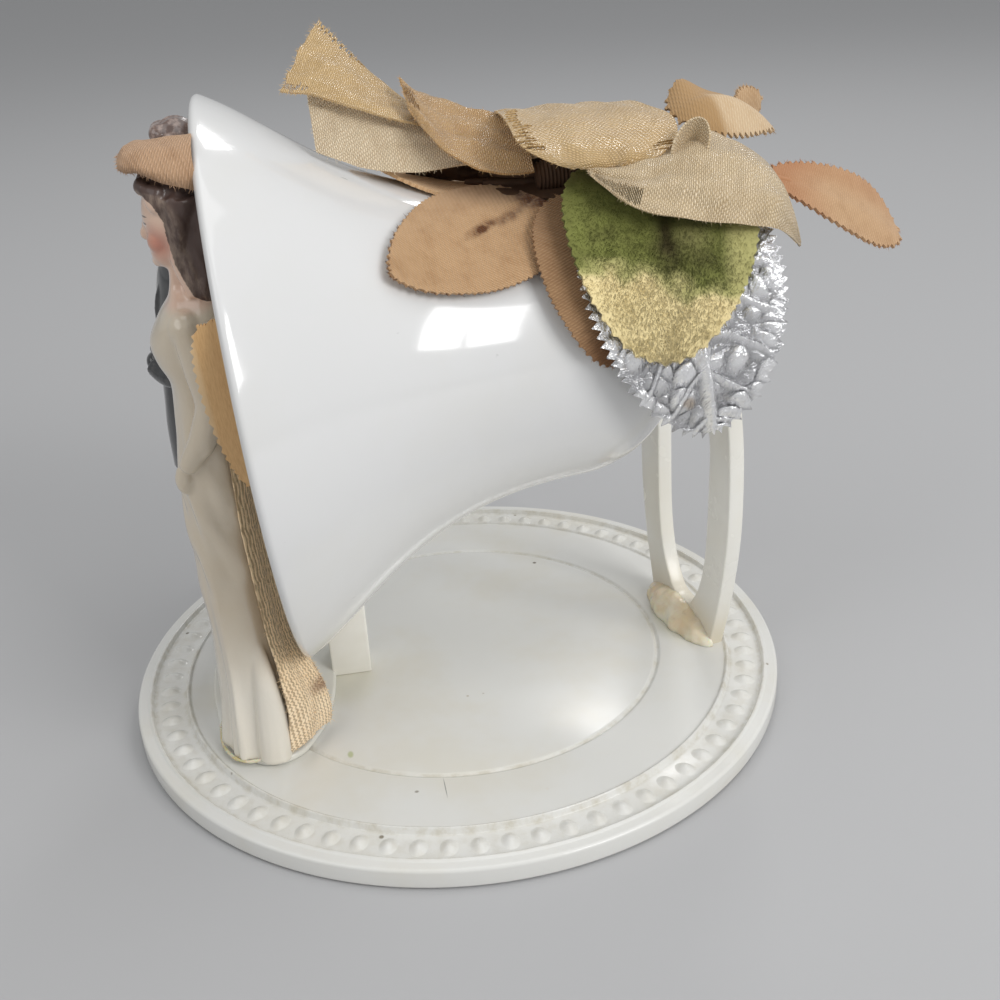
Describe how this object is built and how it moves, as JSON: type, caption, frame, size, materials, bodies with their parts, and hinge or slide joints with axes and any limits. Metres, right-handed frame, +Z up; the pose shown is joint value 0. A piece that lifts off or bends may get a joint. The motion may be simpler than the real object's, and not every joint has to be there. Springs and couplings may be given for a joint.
{
  "type": "wedding cake topper",
  "caption": "Round beaded base with a bell on its side held by a lyre bracket, a small couple at its mouth, and a spray of cloth leaves and ribbon on top.",
  "frame": {"origin": "centre of the base plate's underside", "axes": "+Z up; the couple faces -Y, with the bride on the +X side; the bell's axis runs along +Y from its mouth to its crown"},
  "size_m": [0.09, 0.1071, 0.0879],
  "materials": {
    "base_white": "gloss, slightly yellowed",
    "bell_white": "high gloss",
    "bracket_ivory": "satin gloss, dirt in corners",
    "glue_amber": "aged clear glue",
    "bride_pearl": "pearl glaze with painted hair and face",
    "groom_black": "painted gloss",
    "cloth_tan": "twill, pinked edge",
    "cloth_salmon": "twill, shaded to the stem",
    "cloth_peach": "smooth satin",
    "lace_beige": "knitted lace",
    "velvet_green": "velvet pile",
    "foil_silver": "embossed foil",
    "ribbon_gold": "ribbed ribbon with openwork edges",
    "binding_brown": "wound thread"
  },
  "bodies": {
    "topper": {"base_plate": "base_white", "figure_plinth": "base_white", "bell": "bell_white", "bell_bracket": "bracket_ivory", "bell_rest": "bracket_ivory", "bracket_glue": "glue_amber", "bride_figure": "bride_pearl", "groom_figure": "groom_black", "bride_headpiece": "cloth_tan", "bride_veil": "lace_beige", "spray_binding": "binding_brown", "leaf_near": "cloth_tan", "leaf_top": "cloth_tan", "leaf_hanging": "cloth_tan", "leaf_foil": "foil_silver", "leaf_velvet": "velvet_green", "leaf_side": "cloth_peach", "ribbon_tail_upper": "ribbon_gold", "ribbon_tail_lower": "ribbon_gold", "ribbon_fold": "ribbon_gold", "ribbon_loop": "ribbon_gold", "ribbon_tail_rear": "ribbon_gold"},
    "rear_leaf": {"leaf_rear": "cloth_salmon"},
    "high_leaf": {"leaf_high": "cloth_tan"},
    "small_leaf": {"leaf_small": "cloth_tan"}
  },
  "joints": [
    {"name": "rear_leaf_bend", "type": "hinge", "parent": "topper", "child": "rear_leaf", "pos_m": [0.00475, 0.0258, 0.07016], "axis": [0.9933, 0.1159, 0], "range_deg": [-12, 8]},
    {"name": "high_leaf_bend", "type": "hinge", "parent": "topper", "child": "high_leaf", "pos_m": [0.0033, 0.02578, 0.07044], "axis": [0.9735, 0.2285, 0], "range_deg": [-8, 12]},
    {"name": "small_leaf_bend", "type": "hinge", "parent": "topper", "child": "small_leaf", "pos_m": [0.00184, 0.02577, 0.07062], "axis": [0.8288, 0.5595, 0], "range_deg": [-8, 12]}
  ]
}
